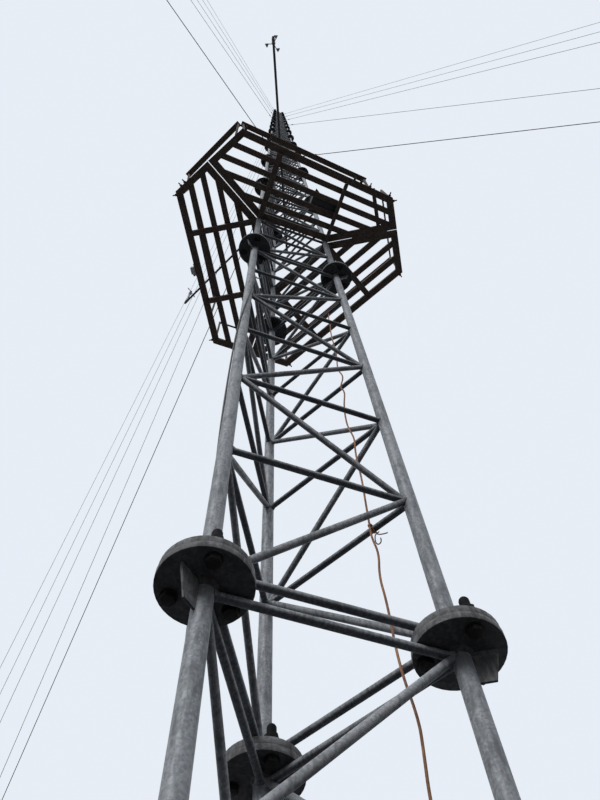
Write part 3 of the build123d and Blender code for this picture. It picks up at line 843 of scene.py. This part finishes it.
hub_height = 7
hub_radius = 2.5 * mm
arm_lift = 5.5
arm_radius = 0.6 * mm
rest_bearing = 38
cup_arm, cup_orbit, cup_offset = 8.2 * mm, 11 * mm, 0.6 * mm
cup_depth, cup_radius, cup_tip_radius, cup_wall = 5.4 * mm, 3.4 * mm, 0.7 * mm, 0.5 * mm
cups = bmesh.new()
hub = hubs["front"]
soften(cups, add_rod(cups, hub, hub + up * hub_height, hub_radius, 18), 0.8 * mm)
for angle in (rest_bearing, rest_bearing + 120, rest_bearing + 240):
    arm = hub + up * arm_lift
    add_rod(cups, arm, arm + polar(cup_arm, angle), arm_radius, 10)
    mouth = arm + polar(cup_orbit, angle) + polar(cup_offset, angle + 90)
    shell = bmesh.new()
    back = mouth - polar(cup_depth, angle + 90)
    add_rod(shell, mouth, back, cup_radius, 20, cup_tip_radius)
    lid = [f for f in shell.faces if (f.calc_center_median() - mouth).length < 0.1 * mm]
    bmesh.ops.delete(shell, geom=lid, context="FACES_ONLY")
    bmesh.ops.solidify(shell, geom=list(shell.faces), thickness=cup_wall)
    bmesh.ops.recalc_face_normals(shell, faces=list(shell.faces))
    copy_in(cups, ready(shell, "cup"), Matrix())
make_piece("cups_front", cups, cup_plastic, "rotor_plastic", "cup_rotor_front",
           body="front_rotor")

vane_nose, vane_tail = -10 * mm, 12.5 * mm
weight_length, weight_radii = 4 * mm, (0.5 * mm, 1.2 * mm)
fin_thickness = 0.8 * mm
fin_outline = [(vane_tail, -3.5 * mm), (vane_tail, 3.5 * mm), (8.5 * mm, 3.5 * mm),
               (6.5 * mm, 0.8 * mm), (6.5 * mm, -0.8 * mm), (8.5 * mm, -3.5 * mm)]
vane = bmesh.new()
hub = hubs["left"]
soften(vane, add_rod(vane, hub, hub + up * hub_height, hub_radius, 18), 0.8 * mm)
arm = hub + up * arm_lift
nose, tail = (arm + polar(reach, rest_bearing) for reach in (vane_nose, vane_tail))
add_rod(vane, nose, tail, arm_radius, 10)
add_rod(vane, nose, nose + polar(weight_length, rest_bearing), weight_radii[0], 14,
        weight_radii[1])
fin_place = Matrix.Translation(arm) @ spun(rest_bearing) @ upright_plane
add_plate(vane, fin_outline, fin_thickness, fin_place)
make_piece("vane_arrow", vane, cup_plastic, "rotor_plastic", "wind_vane", body="vane")

# Equipment box. A painted steel housing on the front grid, with a lid that overhangs it and
# a pointed drip plate under its front.
box_length, box_depth, box_height = 40 * mm, 26 * mm, 30 * mm
body_height, lid_height = 28 * mm, 3 * mm
lid_overhang = 1 * mm
box_foot = Vector((31 * mm, -75 * mm, grid_top))
drip_thickness, drip_level = 1 * mm, grid_top + 1 * mm
drip_outline = [(11 * mm, -86 * mm), (51 * mm, -86 * mm), (51 * mm, -88.5 * mm),
                (24 * mm, -89 * mm), (13 * mm, -96 * mm)]
# The box gets painted shade: its downward faces are darkened as if in shadow.
box_paint = weathered("box paint", (0.03, 0.032, 0.035), (0.02, 0.02, 0.02),
                      (0.12, 0.07, 0.04), grain=300.0, stain_share=0.5, rust_share=0.25,
                      roughness=0.5, bump=0.15, specular=0.15, painted_shade=0.7)
box = bmesh.new()
body_size = (box_length - 2 * lid_overhang, box_depth - 2 * lid_overhang, body_height)
soften(box, add_block(box, box_foot + rise(body_height / 2), body_size), 1.2 * mm, segments=3)
lid_middle = box_foot + rise(box_height - lid_height / 2)
soften(box, add_block(box, lid_middle, (box_length, box_depth, lid_height)), 0.8 * mm)
add_plate(box, drip_outline, drip_thickness, Matrix.Translation(rise(drip_level)))
make_piece("equipment_housing", box, box_paint, "box_paint", "equipment_box")

# Edge lamp. A small pale housing bolted to the left grid's outer face, with a dark gland
# for its lead at one end.
lamp_length, lamp_depth, lamp_height = 18 * mm, 7 * mm, 10 * mm
lamp_body = (11 * mm, 6.4 * mm, 9 * mm)
lamp_along = -3 * mm
bracket_thickness, bracket_height = 0.8 * mm, 8 * mm
gland_run, gland_radii = (-8 * mm, -11.8 * mm), (2 * mm, 1.5 * mm)
screw_places, screw_lift = (-10.6 * mm, 4.6 * mm), 2.4 * mm
screw_length, screw_radius = 1.2 * mm, 1.1 * mm
pale_paint = weathered("pale paint", (0.50, 0.50, 0.49), (0.33, 0.32, 0.31), (0.25, 0.15, 0.09),
                       grain=300.0, stain_share=0.5, rust_share=0.15, roughness=0.45,
                       bump=0.1)
spin = spun(side_turns["left"])
lamp = bmesh.new()
lamp_y = -(outer_distance("left", lamp_along) + lamp_depth / 2)
lamp_z = grid_bottom + lamp_height / 2
lamp_centre = spin @ Vector((lamp_along, lamp_y, lamp_z))
soften(lamp, add_block(lamp, lamp_centre, lamp_body, spin), 1.4 * mm, segments=3)
make_piece("lamp_housing", lamp, pale_paint, "pale_paint", "edge_lamp")
fittings = bmesh.new()
lamp_back = lamp_y + lamp_depth / 2
bracket = spin @ Vector((lamp_along, lamp_back - bracket_thickness / 2, lamp_z))
bracket_size = (lamp_length, bracket_thickness, bracket_height)
soften(fittings, add_block(fittings, bracket, bracket_size, spin), 0.2 * mm)
foot, end = (spin @ Vector((along, lamp_y, lamp_z)) for along in gland_run)
soften(fittings, add_rod(fittings, foot, end, gland_radii[0], 14, gland_radii[1]), 0.3 * mm)
for along in screw_places:
    screw = spin @ Vector((along, lamp_back - bracket_thickness, lamp_z + screw_lift))
    out = spin @ Vector((0, -screw_length, 0))
    add_rod(fittings, screw, screw + out, screw_radius, 6)
make_piece("lamp_fittings", fittings, cup_plastic, "pale_paint", "edge_lamp")

# Lightning rod on top of the back leg, and its conductor, a black cable that runs down inside
# the mast, round the left leg's outer face, and down that leg's outer side to the footing.
rod_foot = polar(circumradius, leg_angles["back"], mast_top)
rod_height, point_height, rod_radius = 140, 10, 1 * mm
socket_height, socket_radius = 4, 3 * mm
point_foot = rod_foot + up * rod_height
spike = bmesh.new()
add_rod(spike, rod_foot, rod_foot + up * socket_height, socket_radius, 16)
add_rod(spike, rod_foot, point_foot, rod_radius, 12)
add_rod(spike, point_foot, rod_foot + up * (rod_height + point_height), rod_radius, 12, 0.1 * mm)
make_piece("lightning_spike", spike, galvanised, "galvanised_steel", "lightning_rod")

black_cable = weathered("black cable", (0.02, 0.02, 0.021), (0.04, 0.038, 0.037),
                        (0.08, 0.06, 0.05), grain=900.0, stain_share=0.5, rust_share=0.1,
                        roughness=0.55, bump=0.15)
cable_run = [
    (30, 19.3, 9950), (30, 19.3, 880), (30, 9.3, 834), (350, 5.2, 822), (305, 4.8, 768),
    (260, 4.8, 714), (215, 4.8, 660), (170, 4.7, 606), (160, 4.5, 500), (125, 4.5, 440),
    (92, 4.5, 385), (92, 19.3, 362), (92, 19.3, 338), (92, 4.5, 315), (92, 4.5, 85),
    (92, 19.3, 62), (92, 19.3, 50),
]


def make_strand(name, radius, material, runs, closed=False, rounding=3, steps=12):
    """A smooth round strand through given points, one spline for each run of them."""
    strand = bpy.data.curves.new(name, "CURVE")
    strand.dimensions = "3D"
    strand.bevel_depth = radius
    strand.bevel_resolution = rounding
    strand.resolution_u = steps
    strand.use_fill_caps = True
    for spots in runs:
        spline = strand.splines.new("NURBS")
        spline.points.add(len(spots) - 1)
        for point, spot in zip(spline.points, spots):
            point.co = (*spot, 1)
        spline.order_u = 3
        spline.use_cyclic_u = closed
        spline.use_endpoint_u = not closed
    strand.materials.append(material)
    piece = put(name, strand)
    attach(piece, "mast")
    return piece


leg_foot = polar(circumradius, leg_angles["left"])
cable_spots = [leg_foot + polar(radius * mm, angle, height * mm)
               for angle, radius, height in cable_run]
conductor = make_strand("conductor_cable", 0.6 * mm, black_cable, [cable_spots],
                        rounding=2, steps=8)
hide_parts("down_conductor")

# Hanging cord. A thin orange flex tied under a level tube of the mast's right side, just
# inside the mast. It hangs in slight waves, is hitched to a lower tube with a bit of wire,
# and ends in a knot above the footing.
cord_diameter = 1.15 * mm
cord_line = [
    (-29.5, 28.87, 844.2), (-29.5, 25.6, 815), (-31.4, 23.2, 790), (-29.8, 22.6, 762),
    (-30.9, 23.2, 705), (-28.4, 22.8, 672), (-32.6, 23.2, 651), (-27.2, 22.8, 636),
    (-30.6, 23.2, 624), (-27.6, 22.9, 605), (-26.4, 23.0, 585), (-26.9, 22.6, 566),
    (-29.8, 23.2, 547), (-28.0, 22.8, 528), (-28.6, 23.0, 500), (-26.6, 24.4, 464),
    (-25.4, 26.0, 453), (-26.0, 24.4, 441), (-28.9, 23.0, 424), (-26.4, 22.8, 408),
    (-27.3, 23.2, 390), (-26.8, 22.8, 352), (-29.9, 23.0, 325), (-28.8, 23.2, 312),
    (-27.2, 22.8, 292), (-28.4, 23.2, 230), (-26.8, 22.8, 165), (-27.5, 23.0, 100),
]
hitch_strand, tie_strand, knot_strand = 0.4 * mm, 0.32 * mm, 0.85 * mm
hitch_points, points_a_turn = 24, 8
knot_points = 18
orange_flex = weathered("orange flex", (0.42, 0.19, 0.08), (0.16, 0.10, 0.085),
                        (0.12, 0.08, 0.06), grain=800.0, stain_share=0.85, rust_share=0.1,
                        roughness=0.5, bump=0.1, specular=0.2)
hitch_flex = weathered("hitched flex", (0.34, 0.14, 0.05), (0.16, 0.08, 0.05), (0.12, 0.06, 0.03),
                       grain=800.0, stain_share=0.6, rust_share=0.1, roughness=0.5,
                       bump=0.1, specular=0.2)
right_spin = spun(side_turns["right"])


def on_right_side(along, distance, height):
    """A point by the mast's right side: along it, out from the axis, and up, in mm."""
    return right_spin @ (Vector((along, -distance, height)) * mm)


flex = make_strand("hanging_flex", cord_diameter / 2, orange_flex,
                   [[on_right_side(*spot) for spot in cord_line]])
hitch_turns = []
for i in range(hitch_points):
    t = math.tau * i / points_a_turn
    hitch_turns.append(on_right_side(-24.9 - 0.06 * i, 27.9 + 3.0 * math.cos(t),
                                     453.8 + 2.4 * math.sin(t)))
hitch = make_strand("cord_hitch", hitch_strand, hitch_flex, [hitch_turns])
tie_wire = make_strand("tie_wire", tie_strand, black_cable, [
    [on_right_side(*spot) for spot in (
        (-27.2, 31.4, 453), (-27.0, 30.0, 450.4), (-26.9, 28.4, 449.8), (-27.8, 27.8, 446.2),
        (-30.6, 27.6, 443.2), (-33.8, 27.6, 441.6))],
    [on_right_side(*spot) for spot in (
        (-26.8, 31.4, 453), (-26.6, 29.6, 450), (-26.4, 27.6, 446.4), (-26.0, 27.2, 440.4),
        (-27.4, 27.0, 436.4), (-29.8, 27.0, 437.0), (-29.6, 27.0, 440.4))]])
knot_foot = on_right_side(-27.5, 23.0, 98)
knot_turns = []
for i in range(knot_points):
    t = math.tau * i / knot_points
    knot_turns.append(knot_foot + Vector((math.sin(t) + 2 * math.sin(2 * t),
                                          -1.2 * math.sin(3 * t),
                                          math.cos(t) - 2 * math.cos(2 * t))) * mm)
knot = make_strand("cord_knot", knot_strand, orange_flex, [knot_turns],
                   closed=True)
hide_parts("hanging_cord")

# Stage. A plain pale floor, soft light from above, and the camera beside the mast's foot,
# looking up. The floor and the world show pale to the camera and in reflections.
floor_material = bpy.data.materials.new("floor")
floor_material.use_nodes = True
tree = floor_material.node_tree
rays = tree.nodes.new("ShaderNodeLightPath")
seen = maths(tree, "MAXIMUM", rays.outputs["Is Camera Ray"], rays.outputs["Is Glossy Ray"])
tree.links.new(mixed(tree, seen, (0.03, 0.03, 0.03, 1), (0.70, 0.71, 0.72, 1)),
               tree.nodes["Principled BSDF"].inputs["Base Color"])
tree.nodes["Principled BSDF"].inputs["Roughness"].default_value = 0.9
floor_reach = 40
ground = bmesh.new()
bmesh.ops.create_grid(ground, x_segments=1, y_segments=1, size=floor_reach)
floor_mesh = ready(ground, "floor")
floor_mesh.materials.append(floor_material)
put("floor", floor_mesh)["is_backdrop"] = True

world = bpy.data.worlds.new("studio")
bpy.context.scene.world = world
world.use_nodes = True
tree = world.node_tree
rays = tree.nodes.new("ShaderNodeLightPath")
seen = maths(tree, "MAXIMUM", rays.outputs["Is Camera Ray"], rays.outputs["Is Glossy Ray"])
seen = maths(tree, "MAXIMUM", seen, rays.outputs["Is Transmission Ray"])
sky = add_node(tree, "SeparateXYZ", {0: add_node(tree, "TexCoord").outputs["Generated"]})
overhead = ramp(tree, sky.outputs["Z"], -0.05, 0.8)
lit = mixed(tree, overhead, (0.015, 0.015, 0.016, 1), (1.0, 1.02, 1.06, 1))
backdrop = (0.80, 0.85, 0.92, 1)
tree.links.new(mixed(tree, seen, lit, backdrop), tree.nodes["Background"].inputs["Color"])

sun = bpy.data.lights.new("soft key", "SUN")
sun.energy = 1.35
sun.angle = math.radians(25)
key = put("soft key", sun)
key.rotation_euler = (math.radians(50), 0, math.radians(-48))

focal_pixels, frame_height = 697.58, 800
camera_spot = (-0.0770, -0.18878, 0.14529)
camera_data = bpy.data.cameras.new("camera")
camera_data.sensor_fit = "VERTICAL"
camera_data.sensor_height = 36
camera_data.lens = focal_pixels / frame_height * 36
camera_data.clip_start = 0.01
camera_data.clip_end = 100
camera = put("camera", camera_data)
yaw, lift, roll = 0.4089, 1.1602, 0.0760
look = Vector((math.sin(yaw) * math.cos(lift), math.cos(yaw) * math.cos(lift), math.sin(lift)))
right = Vector((math.cos(yaw), -math.sin(yaw), 0))
down = look.cross(right)
turned_right = right * math.cos(roll) + down * math.sin(roll)
turned_down = down * math.cos(roll) - right * math.sin(roll)
camera_turn = Matrix((turned_right, -turned_down, -look)).transposed().to_4x4()
camera.matrix_world = Matrix.Translation(camera_spot) @ camera_turn
bpy.context.scene.camera = camera

bpy.context.scene.view_settings.view_transform = "Standard"
low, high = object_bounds()
